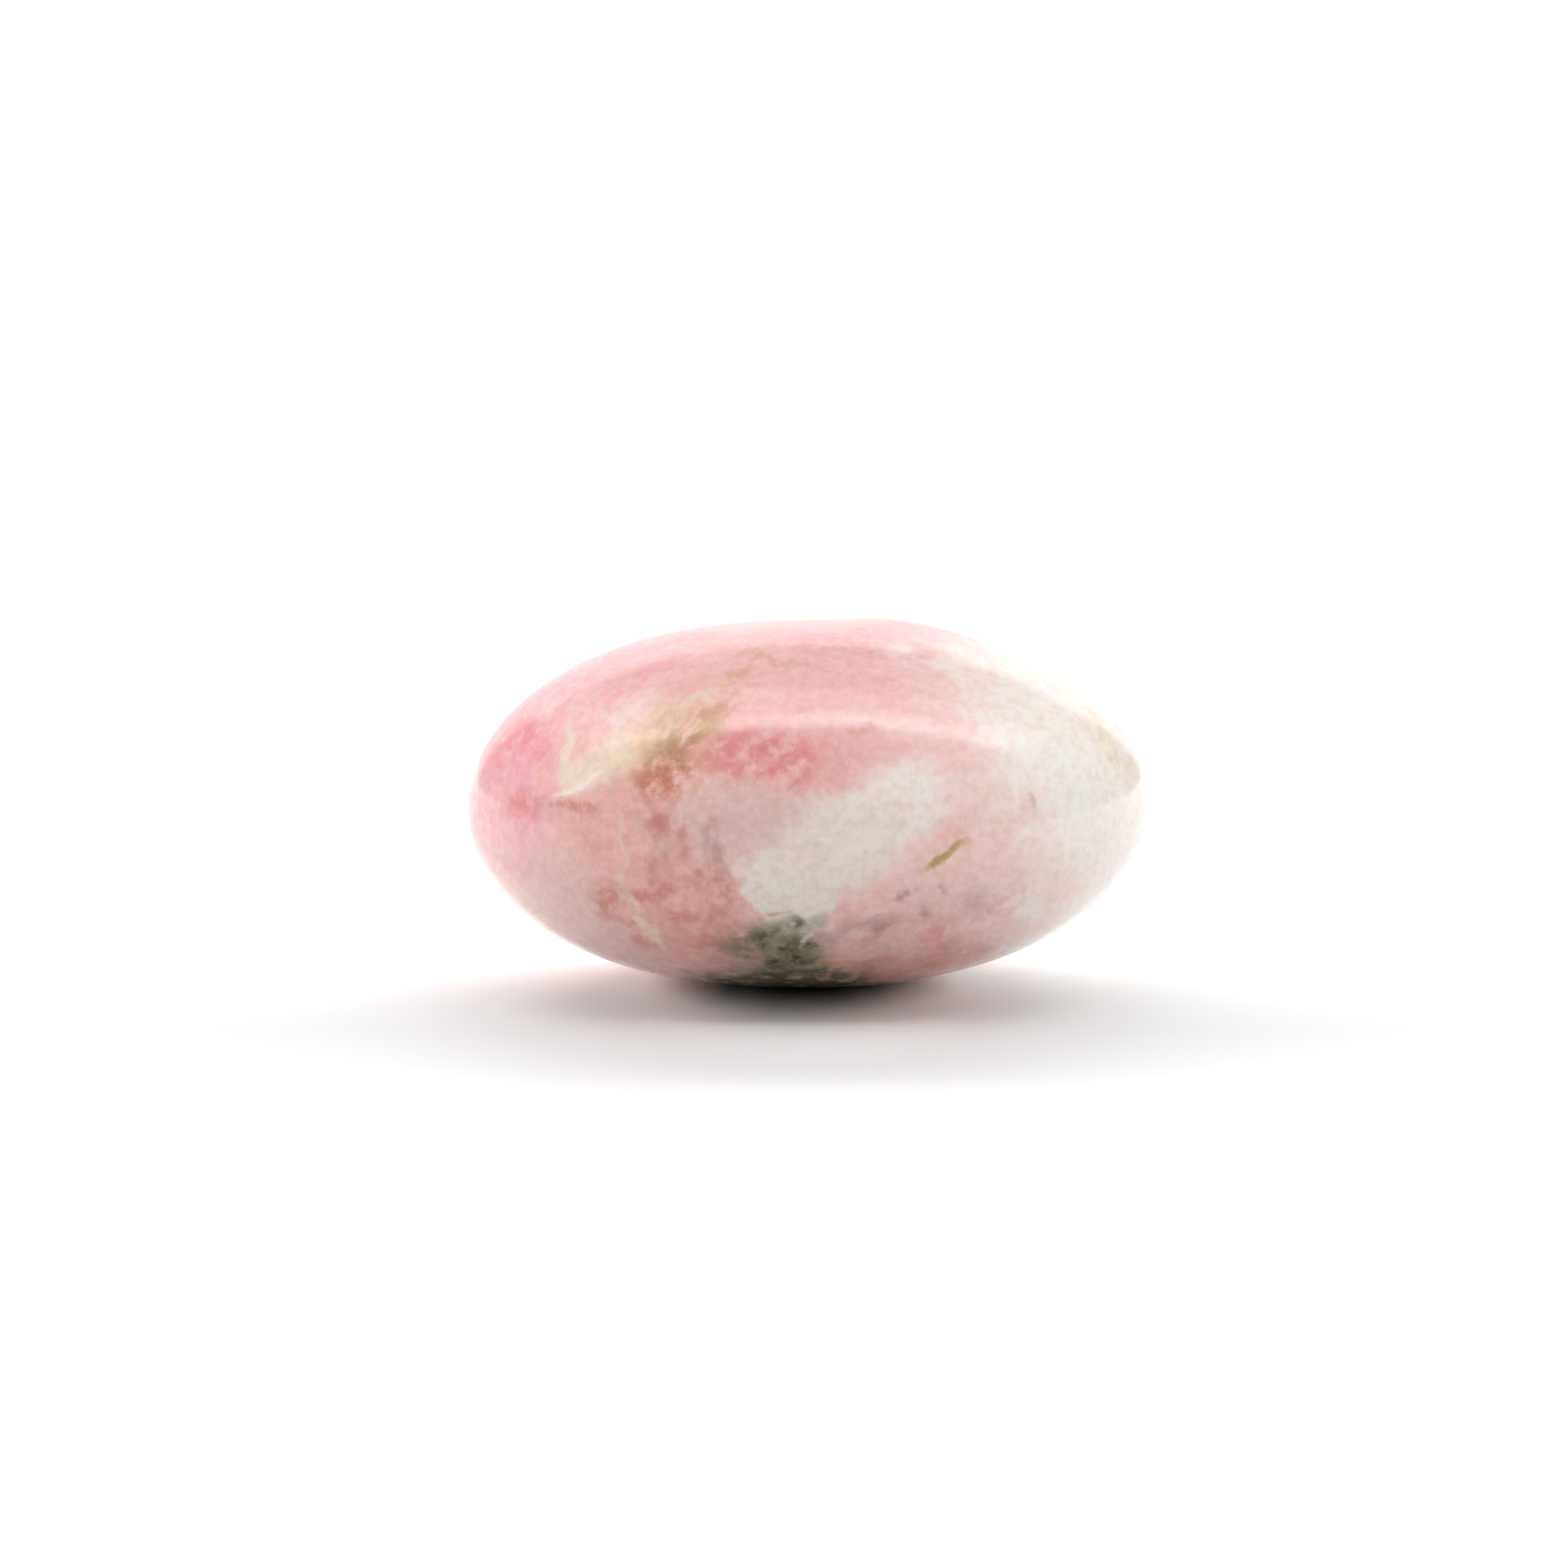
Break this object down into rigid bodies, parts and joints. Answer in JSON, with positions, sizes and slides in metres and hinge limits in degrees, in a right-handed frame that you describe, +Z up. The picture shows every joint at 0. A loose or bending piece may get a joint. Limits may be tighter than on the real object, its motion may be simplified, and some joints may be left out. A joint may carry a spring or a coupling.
{
  "type": "tumbled tugtupite pebble",
  "caption": "Smooth, polished oval stone, pink and white with tan and grey-green patches, lying on its broad side. A loose mineral specimen to hold or show.",
  "frame": {"origin": "middle of the footprint's box, on the plane of the flat that the pebble rests on", "axes": "+X along the pebble's longest way, towards its white end; +Y away from the side that the picture shows; +Z up"},
  "size_m": [0.03, 0.0218, 0.0157],
  "materials": {
    "polished_tugtupite": "polished, slightly translucent, mottled pink and white"
  },
  "bodies": {
    "root": {"pebble": "polished_tugtupite"}
  },
  "joints": []
}
